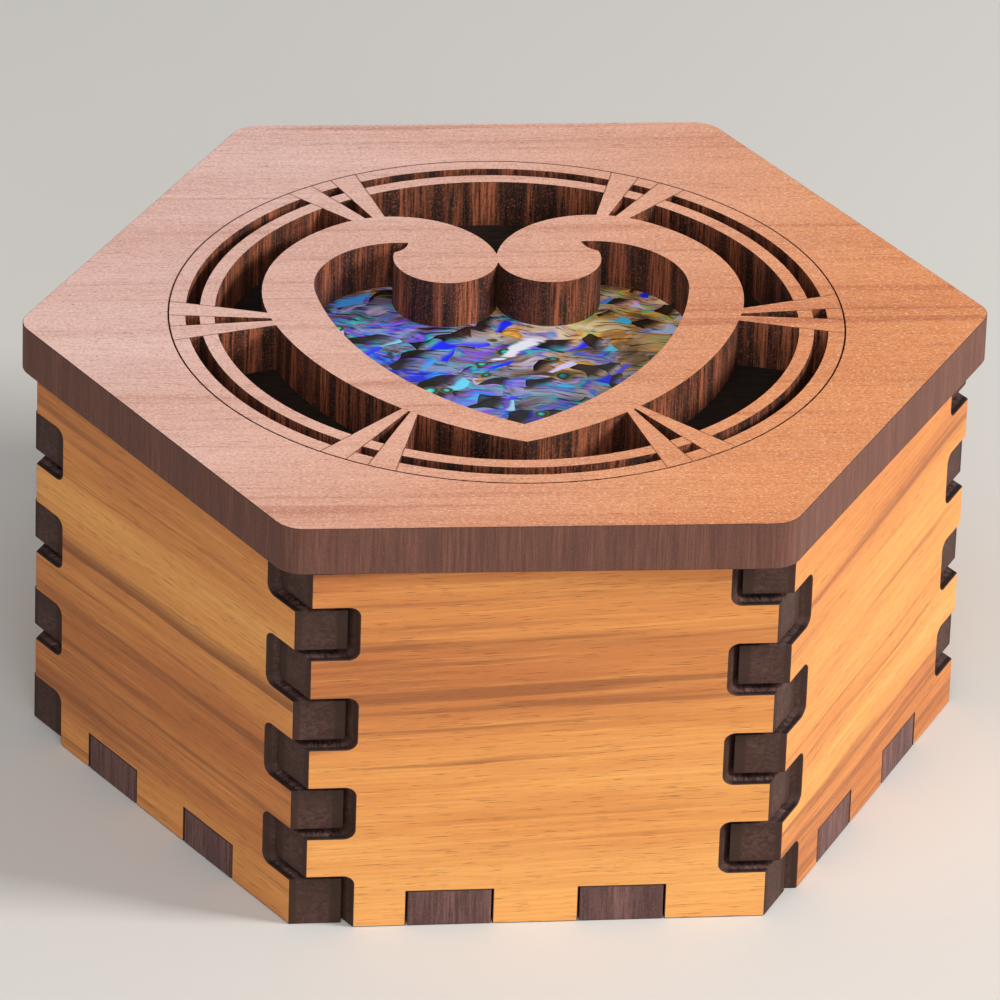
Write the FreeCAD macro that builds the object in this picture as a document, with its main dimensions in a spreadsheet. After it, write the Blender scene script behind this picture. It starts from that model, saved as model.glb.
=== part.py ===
import FreeCAD, Part
import Sketcher

import math
import os

# Wind-up music box: a finger-jointed six-sided box, a lid with a fret-cut heart that turns to wind the
# spring, and a small cylinder movement on the floor. Millimetres and degrees, +Z up, origin at the centre
# of the box's underside, front wall towards -Y.

SIZES = {
    # Wall panels
    "wall_side": 60.3,          # outer length of one wall, corner to corner
    "wall_height": 51.0,
    "wall_thick": 5.7,
    "finger_rows": 8,           # rows of fingers and slots up one corner
    "finger_lift": 0.55,        # lowest row above the underside
    "finger_trim": 1.03,        # part of the highest row that the top edge cuts off
    "finger_gap": 0.83,         # taken off each finger's height
    "finger_recess": 1.1,       # finger ends stand this far behind the neighbour's face
    "slot_gap": 0.6,            # between a finger's flank and the end of the neighbour's slot
    "slot_corner": 0.7,         # bevel in the slots' inner corners
    # Floor
    "floor_thick": 5.0,
    "floor_gap": 0.1,
    "tab_width": 10.5,
    "tab_offset": 10.8,         # tab centre from the middle of its wall
    "tab_gap": 0.2,
    # Lid
    "lid_overhang": 1.7,        # a lid side is this much longer than a wall
    "lid_border": 10.7,         # wood between the round opening and the lid's flats
    "lid_thick": 6.4,
    "lid_gap": 0.4,             # running gap over the walls
    "lid_corner": 4.0,
    "lid_turn": -1.3,           # how the lid stands on the box at rest
    # Fretwork, drawn for a round opening of drawn_radius and scaled to the real one
    "drawn_radius": 43.0,
    "insert_kerf": 0.15,
    "rim_width": 2.2,           # outer ring of the fretwork
    "groove_width": 1.8,        # open slot between the rings
    "band_width": 1.9,          # inner ring
    "spoke_pairs": 6,
    "spoke_inner_radius": 27.0,
    "spoke_inner_gap": 0.1,     # between the two bars of a pair, at the heart
    "spoke_inner_width": 0.8,
    "spoke_outer_gap": 2.8,     # the same, in the outer ring
    "spoke_outer_width": 3.6,
    # Heart: outer outline of three arcs a side, inner outline of two, and a round scroll
    "heart_tip": 32.5,          # outer tip from the lid's centre
    "heart_inner_tip": 28.0,
    "lobe_x": 12.9,
    "lobe_y": 14.5,
    "lobe_radius": 13.15,
    "lobe_end": 120.0,          # where the lobe's arc passes into the side's, as an angle
    "flank_radius": 22.6,
    "flank_end": 195.0,
    "eye_x": 12.2,              # centre of the inner outline's upper arc
    "eye_y": 8.6,
    "eye_radius": 11.8,
    "eye_end": 187.0,
    "cusp_angle": 85.0,
    "scroll_x": 6.65,
    "scroll_y": 16.0,
    "scroll_radius": 6.75,
    "scroll_start": 165.0,
    "cusp_hollow": 0.45,        # depth of the hollow between cusp and scroll
    # Sheets under the fretwork
    "backing_lap": 2.0,         # backing plate past the edge of the round opening
    "backing_thick": 3.0,
    "shell_thick": 0.6,
    "shell_inset": 2.0,         # shell's edge inside the heart's outer outline
    "shell_gap": 0.05,
    # Lid hub and winding arbor
    "hub_flange_radius": 9.0,
    "hub_flange_thick": 2.0,
    "hub_boss_radius": 4.5,
    "hub_boss_height": 7.4,
    "hub_screws": 3,
    "hub_screw_circle": 6.7,
    "square_width": 3.0,
    "square_height": 6.5,
    "square_gap": 0.06,
    "arbor_radius": 2.0,
    "arbor_pivot": 1.5,
    "shoulder_radius": 3.0,
    "shoulder_lift": 2.0,       # thick part of the arbor above the crown wheel's disc
    # Bedplate and spring
    "bed_thick": 3.0,
    "bed_margin": 2.0,
    "bed_clear": 4.0,           # bedplate's right end from the wall beside it
    "bed_bevel": 8.0,
    "bed_corner": 2.0,
    "housing_radius": 12.5,
    "housing_wall": 1.0,
    "housing_height": 10.0,
    "ear_radius": 3.0,
    "ear_thick": 1.2,
    "spring_turns": 5,
    "spring_steps": 24,         # straight lengths in one turn
    "spring_strip": 7.5,        # width of the strip, upright in the housing
    "spring_thick": 0.4,
    "spring_pitch": 1.1,
    "running_gap": 0.05,        # radial clearance of every bearing
    "end_gap": 0.6,
    # Gears
    "crown_teeth": 48,
    "pinion_teeth": 12,
    "crown_module": 0.5,
    "crown_face": 2.2,
    "crown_disc": 1.5,
    "crown_lift": 0.5,          # crown wheel above the spring housing
    "gear_teeth": 30,
    "idler_teeth": 10,
    "train_module": 0.6,
    "gear_face": 1.8,
    "wheel_teeth": 16,
    "worm_module": 0.5,
    "worm_radius": 1.5,         # pitch radius
    "worm_turns": 3,
    "worm_steps": 10,           # straight lengths in one turn of the thread
    "worm_margin": 1.0,         # plain core past each end of the thread
    "wheel_face": 1.6,
    "tooth_share": 0.36,        # tooth thickness as a share of the pitch
    "addendum_share": 0.9,      # tooth height past the pitch line, in modules
    "dedendum_share": 1.2,      # tooth depth inside the pitch line, in modules
    "root_share": 1.25,         # half width at the root, in half tooth thicknesses
    "tip_share": 0.6,           # the same at the tip
    # Cylinder and comb
    "barrel_radius": 6.5,
    "note_count": 18,
    "pins_per_note": 2,
    "pin_height": 0.7,
    "pin_width": 0.45,
    "pin_turn_share": 0.382,    # turn from one note's first pin to the next note's
    "pin_shift_share": 0.07,    # small shifts that keep the pins from lining up
    "spindle_radius": 1.0,
    "comb_thick": 1.0,
    "comb_gap": 0.1,            # between the tooth tips and the pins
    "comb_length": 16.7,
    "comb_longest": 11.0,
    "comb_shortest": 8.0,
    "comb_slot": 0.35,
    "comb_base_depth": 5.0,
    # Brackets and governor
    "bracket_thick": 1.5,
    "bracket_gap": 1.0,
    "bracket_half": 4.0,
    "idler_boss": 3.4,
    "foot_length": 5.0,
    "foot_thick": 1.5,
    "idler_spindle": 0.8,
    "worm_spindle": 0.6,
    "worm_offset": 12.8,        # worm from the barrel's left end
    "governor_reach": 4.4,      # worm from the governor's upright
    "arm_lift": 7.0,            # governor arms above and below the idler's axis
    "arm_thick": 1.5,
    "arm_half": 3.0,
    "fan_span": 10.0,
    "fan_height": 5.0,
    "fan_thick": 0.4,
    "fan_gap": 0.7,
    "fan_hub": 1.2,
    # Screws
    "screw_sides": 12,          # flats round a screw and its hole
    "screw_radius": 0.9,
    "screw_head": 1.7,
    "screw_head_height": 1.0,
    "screw_depth": 2.0,         # length in the piece that takes the thread
    "mount_radius": 1.4,
    "mount_head": 2.8,
    "mount_head_height": 1.8,
    "mount_recess": 0.4,        # heads sunk above the underside
    "mount_gap": 0.1,           # round a sunk head
    "mount_inset": 9.5,         # right-hand screw from the bedplate's end
    "mount_left": 6.0,          # the other two screws under the floor
    "mount_side": 16.5,
    # Modelling allowances
    "overrun": 1.0,             # cuts and joined roots run this far past the face they meet
    "embed": 0.4,               # teeth, pins and threads run this far into what carries them
}

# Places worked out from the sizes, in the order in which they build on each other.
PLACES = {
    "apothem": "sizes.wall_side * cos(30)",
    "inner_apothem": "{apothem} - sizes.wall_thick",
    "row_height": "(sizes.wall_height - sizes.finger_lift + sizes.finger_trim) / sizes.finger_rows",
    "finger_height": "{row_height} - sizes.finger_gap",
    "first_finger": "sizes.finger_lift + sizes.finger_gap / 2",
    "slant": "sizes.wall_thick * tan(30)",
    "panel_end": "sizes.wall_side / 2 - (sizes.wall_thick + sizes.slot_gap) / cos(30)",
    "finger_end": "sizes.wall_side / 2 - sizes.finger_recess / cos(30)",
    "lid_side": "sizes.wall_side + sizes.lid_overhang",
    "lid_z": "sizes.wall_height + sizes.lid_gap",
    "insert_radius": "{lid_side} * cos(30) - sizes.lid_border",
    "fret_scale": "{insert_radius} / sizes.drawn_radius",
    "backing_radius": "{insert_radius} + sizes.backing_lap",
    "backing_z": "{lid_z} - sizes.backing_thick",
    "hub_z": "{backing_z} - sizes.hub_flange_thick",
    "shoulder_z": "{hub_z} - sizes.hub_boss_height",
    "bed_top": "sizes.floor_thick + sizes.bed_thick",
    "housing_top": "{bed_top} + sizes.housing_height",
    "crown_z": "{housing_top} + sizes.crown_lift",
    "crown_top": "{crown_z} + sizes.crown_disc",
    "crown_radius": "sizes.crown_module * sizes.crown_teeth / 2",
    "crown_inner": "{crown_radius} - sizes.crown_face / 2",
    "crown_outer": "{crown_radius} + sizes.crown_face / 2",
    "pinion_radius": "sizes.crown_module * sizes.pinion_teeth / 2",
    "axis_z": "{crown_top} + sizes.dedendum_share * sizes.crown_module + {pinion_radius}",
    "bracket_x": "{crown_outer} + sizes.bracket_gap",
    "barrel_x": "{bracket_x} + sizes.bracket_thick + sizes.end_gap",
    "bed_right": "{inner_apothem} - sizes.bed_clear",
    "train_x": "{bed_right} - sizes.bed_margin - sizes.bracket_thick",
    "gear_x": "{train_x} - sizes.bracket_gap - sizes.gear_face",
    "barrel_length": "{gear_x} - {barrel_x}",
    "mount_right": "{bed_right} - sizes.mount_inset",
    "idler_y": "sizes.train_module * (sizes.gear_teeth + sizes.idler_teeth) / 2",
    "wheel_radius": "sizes.worm_module * sizes.wheel_teeth / 2",
    "worm_x": "{barrel_x} + sizes.worm_offset",
    "worm_y": "{idler_y} + {wheel_radius} + sizes.worm_radius",
    "worm_low_z": "{axis_z} - sizes.arm_lift - sizes.arm_thick",
    "worm_high_z": "{axis_z} + sizes.arm_lift",
    "fan_z": "{worm_high_z} + sizes.arm_thick + sizes.fan_gap",
    "governor_x": "{worm_x} - sizes.governor_reach",
    "comb_tip_y": "-(sizes.barrel_radius + sizes.pin_height + sizes.comb_gap)",
    "comb_back_y": "{comb_tip_y} - sizes.comb_length",
    "comb_z": "{axis_z} - sizes.comb_thick / 2",
    "ear_y": "sizes.housing_radius + sizes.screw_head + sizes.end_gap / 2",
    "bed_left": "-(sizes.housing_radius + sizes.bed_margin)",
    "bed_front": "{comb_back_y} - sizes.bed_margin / 2",
    "bed_back": "{worm_y} + sizes.arm_half + sizes.bed_margin / 2",
}

# Turns a piece drawn about +Z so that it lies about +X, with its own X along +Y.
ALONG_X = FreeCAD.Rotation(FreeCAD.Vector(1, 1, 1), 120)
UPRIGHT = FreeCAD.Rotation()

doc = FreeCAD.newDocument("music_box")
pieces = []


def make_sheet():
    sheet = doc.addObject("Spreadsheet::Sheet", "sizes")
    for row, (name, number) in enumerate(SIZES.items(), start=1):
        sheet.set(f"A{row}", name)
        sheet.set(f"B{row}", str(number))
        sheet.setAlias(f"B{row}", name)
    doc.recompute()
    return sheet


def make_places():
    """Bind every place to the sizes, with the places it builds on spelled out."""
    places = doc.addObject("App::VarSet", "places")
    spelled = {}
    for name, expression in PLACES.items():
        spelled[name] = f"({expression.format(**spelled)})"
        places.addProperty("App::PropertyFloat", name, "Places")
        places.setExpression(name, spelled[name])
    doc.recompute()
    return places


sizes = make_sheet()
places = make_places()


def piece(label, thing):
    thing.Label = label
    pieces.append(thing)
    return thing


def put(thing, x="0", y="0", z="0", rotation=UPRIGHT):
    """Set a thing's turn and bind its place."""
    thing.Placement = FreeCAD.Placement(FreeCAD.Vector(), rotation)
    for axis, expression in zip("xyz", (x, y, z)):
        thing.setExpression(f"Placement.Base.{axis}", expression)
    return thing


def box(name, x, y, z, length, width, height):
    thing = doc.addObject("Part::Box", name)
    thing.setExpression("Length", length)
    thing.setExpression("Width", width)
    thing.setExpression("Height", height)
    return put(thing, x, y, z)


def rod(name, radius, length, x="0", y="0", z="0", rotation=UPRIGHT):
    thing = doc.addObject("Part::Cylinder", name)
    thing.setExpression("Radius", radius)
    thing.setExpression("Height", length)
    return put(thing, x, y, z, rotation)


def stud(name, radius, length, x, y, z):
    """Many-sided rod for a screw or its hole."""
    thing = doc.addObject("Part::Prism", name)
    thing.setExpression("Polygon", "sizes.screw_sides")
    thing.setExpression("Circumradius", radius)
    thing.setExpression("Height", length)
    return put(thing, x, y, z)


def fuse(name, things):
    joined = doc.addObject("Part::MultiFuse", name)
    joined.Shapes = things
    joined.Refine = True
    return joined


def cut(name, base, tools):
    tool = tools[0] if len(tools) == 1 else fuse(f"{name}_cuts", tools)
    result = doc.addObject("Part::Cut", name)
    result.Base = base
    result.Tool = tool
    return result


def group(name, things):
    together = doc.addObject("Part::Compound", name)
    together.Links = things
    return together


def drawn(name, shape, x=0.0, y=0.0, z=0.0, rotation=UPRIGHT):
    """A piece whose outline comes from a formula."""
    thing = doc.addObject("Part::Feature", name)
    thing.Shape = shape
    thing.Placement = FreeCAD.Placement(FreeCAD.Vector(x, y, z), rotation)
    return thing


def sketch(body, name, loops, plane="XY_Plane", lift="0"):
    """Closed outlines whose corners are pairs of expressions."""
    result = body.newObject("Sketcher::SketchObject", name)
    base = next(f for f in body.Origin.OriginFeatures if f.Role == plane)
    result.AttachmentSupport = [(base, "")]
    result.MapMode = "FlatFace"
    result.setExpression("AttachmentOffset.Base.z", lift)
    first = 0
    for loop in loops:
        count = len(loop)
        start = [on_circle(1.0, 360 * i / count) for i in range(count)]
        for i in range(count):
            result.addGeometry(Part.LineSegment(start[i], start[(i + 1) % count]))
        for i in range(count):
            following = first + (i + 1) % count
            result.addConstraint(Sketcher.Constraint("Coincident", first + i, 2, following, 1))
        for i, corner in enumerate(loop):
            for kind, expression, guess in zip(("DistanceX", "DistanceY"), corner, start[i]):
                held = result.addConstraint(Sketcher.Constraint(kind, -1, 1, first + i, 1, guess))
                result.setExpression(f"Constraints[{held}]", expression)
        first += count
    return result


def circle_sketch(body, name, radius):
    result = body.newObject("Sketcher::SketchObject", name)
    base = next(f for f in body.Origin.OriginFeatures if f.Role == "XY_Plane")
    result.AttachmentSupport = [(base, "")]
    result.MapMode = "FlatFace"
    result.addGeometry(Part.Circle(FreeCAD.Vector(), FreeCAD.Vector(0, 0, 1), 1.0))
    result.addConstraint(Sketcher.Constraint("Coincident", 0, 3, -1, 1))
    held = result.addConstraint(Sketcher.Constraint("Radius", 0, 1.0))
    result.setExpression(f"Constraints[{held}]", radius)
    return result


def pad(body, name, outline, length):
    result = body.newObject("PartDesign::Pad", name)
    result.Profile = outline
    result.setExpression("Length", length)
    return result


def pocket_up(body, name, outline, depth):
    """Cut upwards from the outline's plane."""
    result = body.newObject("PartDesign::Pocket", name)
    result.Profile = outline
    result.setExpression("Length", depth)
    result.Reversed = True
    return result


def stacked(body, name, feature, outline):
    """Repeat a finger at every second row, apart from the row at the edge."""
    result = body.newObject("PartDesign::LinearPattern", name)
    result.Originals = [feature]
    result.Direction = (outline, ["N_Axis"])
    result.setExpression("Length", "places.row_height * (sizes.finger_rows - 4)")
    result.setExpression("Occurrences", "sizes.finger_rows / 2 - 1")
    body.Tip = result
    return result


def chosen_edges(feature, wanted):
    """The edges of a feature for which wanted(edge) holds."""
    return [f"Edge{i}" for i, edge in enumerate(feature.Shape.Edges, start=1) if wanted(edge)]


def rounded(body, name, feature, radius):
    """Round the upright edges of a padded outline."""
    doc.recompute()
    result = body.newObject("PartDesign::Fillet", name)
    result.Base = (feature, chosen_edges(feature, upright))
    result.setExpression("Radius", radius)
    return result


def bevelled(body, name, feature, size, wanted):
    doc.recompute()
    result = body.newObject("PartDesign::Chamfer", name)
    result.Base = (feature, chosen_edges(feature, wanted))
    result.setExpression("Size", size)
    return result


def upright(edge):
    return abs(edge.tangentAt(edge.FirstParameter).z) > 0.99


def revolved(label, profile):
    """Turn a profile of (radius, height) corners about +Z."""
    body = doc.addObject("PartDesign::Body", label)
    outline = sketch(body, f"{label}_profile", [profile], plane="XZ_Plane")
    turned = body.newObject("PartDesign::Revolution", f"{label}_turned")
    turned.Profile = outline
    turned.ReferenceAxis = (outline, ["V_Axis"])
    turned.Angle = 360
    return body


def solid(points, height):
    """Straight-sided solid on a closed outline of points."""
    outline = Part.makePolygon(points + points[:1])
    return Part.Face(outline).extrude(FreeCAD.Vector(0, 0, height))


def on_circle(radius, angle, x=0.0, y=0.0):
    turn = math.radians(angle)
    return FreeCAD.Vector(x + radius * math.cos(turn), y + radius * math.sin(turn), 0)


# Box

def at_slot_corner(edge):
    """True for the edges where a wall's fingers leave the end of its board."""
    low, high = edge.BoundBox.ZMin, edge.BoundBox.ZMax
    level = high - low < Part.Precision.confusion() and 0 < low < sizes.wall_height
    middle = places.panel_end + places.slant / 2
    return level and abs(abs(edge.CenterOfMass.x) - middle) < sizes.overrun / 2


def wall(label, index):
    """One wall panel, drawn as the front wall and turned to its place."""
    body = doc.addObject("PartDesign::Body", label)
    face, inside = "-places.apothem", "-places.inner_apothem"
    end, tip, slant = "places.panel_end", "places.finger_end", "places.slant"
    panel = sketch(body, f"{label}_panel", [[
        (f"-{end}", face), (end, face),
        (f"{end} + {slant}", inside), (f"-{end} - {slant}", inside)]])
    pad(body, f"{label}_board", panel, "sizes.wall_height")

    # Left fingers fill the odd rows and the top edge, right fingers the even rows and the underside.
    top_row = "places.first_finger + places.row_height * (sizes.finger_rows - 1)"
    rows = {
        "left": ("-", top_row, f"sizes.wall_height - ({top_row})", "places.row_height"),
        "right": ("+", "0", "places.first_finger + places.finger_height", "places.row_height * 2"),
    }
    for side, (sign, edge_low, edge_height, first_row) in rows.items():
        outer, root = f"{sign}{tip}", f"{sign}({end} - sizes.overrun)"
        outline = [
            (root, face), (outer, face),
            (f"{outer} {sign} {slant}", inside), (f"{root} {sign} {slant}", inside)]
        edge_outline = sketch(body, f"{label}_{side}_edge_outline", [outline], lift=edge_low)
        pad(body, f"{label}_{side}_edge_finger", edge_outline, edge_height)
        low = f"places.first_finger + {first_row}"
        finger_outline = sketch(body, f"{label}_{side}_outline", [outline], lift=low)
        finger = pad(body, f"{label}_{side}_finger", finger_outline, "places.finger_height")
        fingers = stacked(body, f"{label}_{side}_fingers", finger, finger_outline)
    bevelled(body, f"{label}_slot_corners", fingers, "sizes.slot_corner", at_slot_corner)

    notch = "(sizes.tab_width / 2 + sizes.tab_gap)"
    near, far = f"{face} - sizes.overrun", f"{inside} + sizes.overrun"
    notches = []
    for centre in ("-sizes.tab_offset", "sizes.tab_offset"):
        left, right = f"{centre} - {notch}", f"{centre} + {notch}"
        notches.append([(left, near), (right, near), (right, far), (left, far)])
    outline = sketch(body, f"{label}_notch_outline", notches)
    pocket_up(body, f"{label}_notches", outline, "sizes.floor_thick")
    turn = FreeCAD.Rotation(FreeCAD.Vector(0, 0, 1), 60 * index)
    body.Placement = FreeCAD.Placement(FreeCAD.Vector(), turn)
    return piece(label, body)


MOUNT_PLACES = [
    ("-sizes.mount_left", "-sizes.mount_side"),
    ("-sizes.mount_left", "sizes.mount_side"),
    ("places.mount_right", "0"),
]


def floor_panel():
    board = doc.addObject("Part::Prism", "floor_board")
    board.Polygon = 6
    board.setExpression("Circumradius", "(places.inner_apothem - sizes.floor_gap) / cos(30)")
    board.setExpression("Height", "sizes.floor_thick")
    tabs = []
    for index in range(6):
        pair = [
            box(f"floor_tab_{index}{side}", f"{centre} - sizes.tab_width / 2", "-places.apothem", "0",
                "sizes.tab_width", "sizes.wall_thick + sizes.overrun", "sizes.floor_thick")
            for side, centre in (("a", "-sizes.tab_offset"), ("b", "sizes.tab_offset"))]
        turned = group(f"floor_tabs_{index}", pair)
        turn = FreeCAD.Rotation(FreeCAD.Vector(0, 0, 1), 60 * index)
        turned.Placement = FreeCAD.Placement(FreeCAD.Vector(), turn)
        tabs.append(turned)
    whole = fuse("floor_with_tabs", [board] + tabs)
    through = "sizes.floor_thick + 2 * sizes.overrun"
    sunk = "sizes.mount_recess + sizes.mount_head_height + sizes.overrun"
    holes = []
    for index, (x, y) in enumerate(MOUNT_PLACES):
        holes.append(stud(f"floor_hole_{index}", "sizes.mount_radius + sizes.mount_gap", through,
                          x, y, "-sizes.overrun"))
        holes.append(stud(f"floor_recess_{index}", "sizes.mount_head + sizes.mount_gap", sunk,
                          x, y, "-sizes.overrun"))
    return piece("floor_panel", cut("floor_panel", whole, holes))


# Lid

def on_lid(label, thing, height):
    """Set a lid piece at its height, turned with the lid."""
    put(thing, z=height)
    thing.setExpression("Placement.Rotation.Angle", "sizes.lid_turn")
    return piece(label, thing)


def lid_plate():
    body = doc.addObject("PartDesign::Body", "lid_plate")
    corners = [(f"places.lid_side * cos({60 * k})", f"places.lid_side * sin({60 * k})") for k in range(6)]
    plate = pad(body, "lid_board", sketch(body, "lid_outline", [corners]), "sizes.lid_thick")
    rounded(body, "lid_corners", plate, "sizes.lid_corner")
    hole = circle_sketch(body, "lid_hole", "places.insert_radius")
    pocket_up(body, "lid_opening", hole, "sizes.lid_thick + sizes.overrun")
    return on_lid("lid_plate", body, "places.lid_z")


def arc(radius, start, end, x, y):
    """Arc about (x, y) from one angle to another."""
    middle = on_circle(radius, (start + end) / 2, x, y)
    return Part.Arc(on_circle(radius, start, x, y), middle, on_circle(radius, end, x, y)).toShape()


def tangent_arc(start, heading, end):
    """Arc that leaves start along heading and runs to end."""
    chord = end - start
    turn = math.degrees(math.atan2(chord.y, chord.x)) - heading
    turn = (turn + 180) % 360 - 180
    reach = chord.Length / (2 * math.cos(math.radians(turn / 2)))
    return Part.Arc(start, start + on_circle(reach, heading + turn / 2), end).toShape()


def both_sides(edges):
    """Closed outline from the edges of its left half, scaled to the round opening."""
    half = Part.Wire(edges)
    other = half.mirror(FreeCAD.Vector(), FreeCAD.Vector(1, 0, 0))
    whole = Part.Wire(Part.__sortEdges__(half.Edges + other.Edges))
    return whole.scaled(places.fret_scale, FreeCAD.Vector())


def heart_outer():
    x, y, radius = -sizes.lobe_x, sizes.lobe_y, sizes.lobe_radius
    notch = math.degrees(math.acos(sizes.lobe_x / radius))
    lobe = arc(radius, notch, sizes.lobe_end, x, y)
    inward = on_circle(sizes.flank_radius - radius, sizes.lobe_end + 180)
    flank = arc(sizes.flank_radius, sizes.lobe_end, sizes.flank_end, x + inward.x, y + inward.y)
    start = on_circle(sizes.flank_radius, sizes.flank_end, x + inward.x, y + inward.y)
    side = tangent_arc(start, sizes.flank_end + 90, FreeCAD.Vector(0, -sizes.heart_tip, 0))
    return both_sides([lobe, flank, side])


def heart_inner():
    start = on_circle(sizes.eye_radius, sizes.eye_end, -sizes.eye_x, sizes.eye_y)
    side = tangent_arc(start, sizes.eye_end + 90, FreeCAD.Vector(0, -sizes.heart_inner_tip, 0))
    eye = arc(sizes.eye_radius, sizes.cusp_angle, sizes.eye_end, -sizes.eye_x, sizes.eye_y)
    cusp = on_circle(sizes.eye_radius, sizes.cusp_angle, -sizes.eye_x, sizes.eye_y)
    turned = on_circle(sizes.scroll_radius, sizes.scroll_start, -sizes.scroll_x, sizes.scroll_y)
    across = (turned - cusp).cross(FreeCAD.Vector(0, 0, 1)).normalize()
    hollow = Part.Arc(cusp, (cusp + turned) * 0.5 - across * sizes.cusp_hollow, turned).toShape()
    meeting = 360 - math.degrees(math.acos(sizes.scroll_x / sizes.scroll_radius))
    scroll = arc(sizes.scroll_radius, sizes.scroll_start, meeting, -sizes.scroll_x, sizes.scroll_y)
    return both_sides([side, eye, hollow, scroll])


def ring(outer, inner, height):
    return Part.makeCylinder(outer, height).cut(Part.makeCylinder(inner, height))


def spoke_bars(reach, height):
    """Pairs of tapered bars from the heart out to the rim."""
    start = sizes.spoke_inner_radius * places.fret_scale
    near, far = sizes.spoke_inner_gap / 2, sizes.spoke_outer_gap / 2
    bars = []
    for index in range(int(sizes.spoke_pairs)):
        for side in (1, -1):
            corners = [
                (start, near), (reach, far),
                (reach, far + sizes.spoke_outer_width), (start, near + sizes.spoke_inner_width)]
            bar = solid([FreeCAD.Vector(x, side * y, 0) for x, y in corners], height)
            bar.rotate(FreeCAD.Vector(), FreeCAD.Vector(0, 0, 1), index * 360 / sizes.spoke_pairs)
            bars.append(bar)
    return bars


def fretwork_insert():
    height = sizes.lid_thick
    up = FreeCAD.Vector(0, 0, height)
    rim = places.insert_radius - sizes.insert_kerf
    rim_inner = places.insert_radius - sizes.rim_width
    band = rim_inner - sizes.groove_width
    rings = [ring(rim, rim_inner, height), ring(band, band - sizes.band_width, height)]
    bars = spoke_bars((rim + rim_inner) / 2, height)
    heart = Part.Face(heart_outer()).extrude(up)
    opening = Part.Face(heart_inner()).extrude(up)
    shape = heart.fuse(rings + bars).cut(opening).removeSplitter()
    return on_lid("fretwork_insert", drawn("fretwork_insert", shape.Solids[0]), "places.lid_z")


def shell_sheet(clearance, height):
    """The shell's outline, inside the heart's outer outline."""
    outline = heart_outer().makeOffset2D(clearance - sizes.shell_inset)
    return Part.Face(outline).extrude(FreeCAD.Vector(0, 0, height))


def shell_and_backing():
    under = "places.lid_z - sizes.shell_thick"
    on_lid("shell_inlay", drawn("shell_inlay", shell_sheet(0, sizes.shell_thick)), under)
    disc = rod("backing_disc", "places.backing_radius", "sizes.backing_thick")
    recess = drawn("backing_recess", shell_sheet(sizes.shell_gap, sizes.shell_thick + sizes.overrun))
    put(recess, z="sizes.backing_thick - sizes.shell_thick")
    on_lid("backing_plate", cut("backing_plate", disc, [recess]), "places.backing_z")


HUB_SCREW_PLACES = [
    (f"sizes.hub_screw_circle * cos(90 + {i} * 360 / sizes.hub_screws)",
     f"sizes.hub_screw_circle * sin(90 + {i} * 360 / sizes.hub_screws)")
    for i in range(SIZES["hub_screws"])]


def lid_hub():
    """Flange under the backing plate, with a square socket for the arbor in its boss."""
    flange = rod("hub_flange", "sizes.hub_flange_radius", "sizes.hub_flange_thick",
                 z="sizes.hub_boss_height")
    boss = rod("hub_boss", "sizes.hub_boss_radius", "sizes.hub_boss_height")
    wide = "(sizes.square_width + 2 * sizes.square_gap)"
    deep = "sizes.square_height + sizes.end_gap / 2 + sizes.overrun"
    socket = box("hub_socket", f"-{wide} / 2", f"-{wide} / 2", "-sizes.overrun", wide, wide, deep)
    holes = screw_holes("hub_hole", HUB_SCREW_PLACES, "sizes.hub_boss_height - sizes.overrun",
                        "sizes.hub_flange_thick + 2 * sizes.overrun")
    blank = fuse("hub_blank", [flange, boss])
    on_lid("lid_hub", cut("lid_hub", blank, [socket] + holes), "places.shoulder_z")
    low = "-sizes.screw_head_height"
    screws = screws_at("hub_screw", HUB_SCREW_PLACES, low, low,
                       "sizes.hub_flange_thick + sizes.screw_head_height")
    on_lid("hub_screws", group("hub_screws", screws), "places.hub_z")


# Screws

def screws_at(name, spots, head_low, stem_low, stem_length, size="screw"):
    """Cheese-head screws of one kind."""
    screws = []
    for i, (x, y) in enumerate(spots):
        head = stud(f"{name}_head_{i}", f"sizes.{size}_head", f"sizes.{size}_head_height", x, y, head_low)
        stem = stud(f"{name}_stem_{i}", f"sizes.{size}_radius", stem_length, x, y, stem_low)
        screws.append(fuse(f"{name}_{i}", [head, stem]))
    return screws


def screw_set(label, spots, seat, clamped):
    """Screws with their heads on seat, through a clamped thickness."""
    low = f"{seat} - {clamped} - sizes.screw_depth"
    length = f"{clamped} + sizes.screw_depth + sizes.screw_head_height"
    return piece(label, group(label, screws_at(f"{label}_one", spots, seat, low, length)))


def screw_holes(name, spots, low, length, radius="sizes.screw_radius"):
    return [stud(f"{name}_{i}", radius, length, x, y, low) for i, (x, y) in enumerate(spots)]


FOOT_MID = "sizes.bracket_thick + sizes.foot_length / 2"
BRACKET_SCREW_PLACES = [
    (f"places.bracket_x + {FOOT_MID}", "-sizes.bracket_half / 2"),
    (f"places.bracket_x + {FOOT_MID}", "sizes.bracket_half / 2"),
    ("places.train_x - sizes.foot_length / 2", "-sizes.bracket_half / 2"),
    ("places.train_x - sizes.foot_length / 2", "places.idler_y"),
    ("places.governor_x - sizes.foot_length / 2", "places.idler_y"),
    ("places.governor_x - sizes.foot_length / 2", "places.worm_y"),
]
HOUSING_SCREW_PLACES = [("0", "-places.ear_y"), ("0", "places.ear_y")]
COMB_SCREW_PLACES = [
    ("places.barrel_x + places.barrel_length / 4", "places.comb_back_y + sizes.comb_base_depth / 2"),
    ("places.barrel_x + places.barrel_length * 3 / 4", "places.comb_back_y + sizes.comb_base_depth / 2"),
]


# Bedplate, spring and winding arbor

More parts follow.
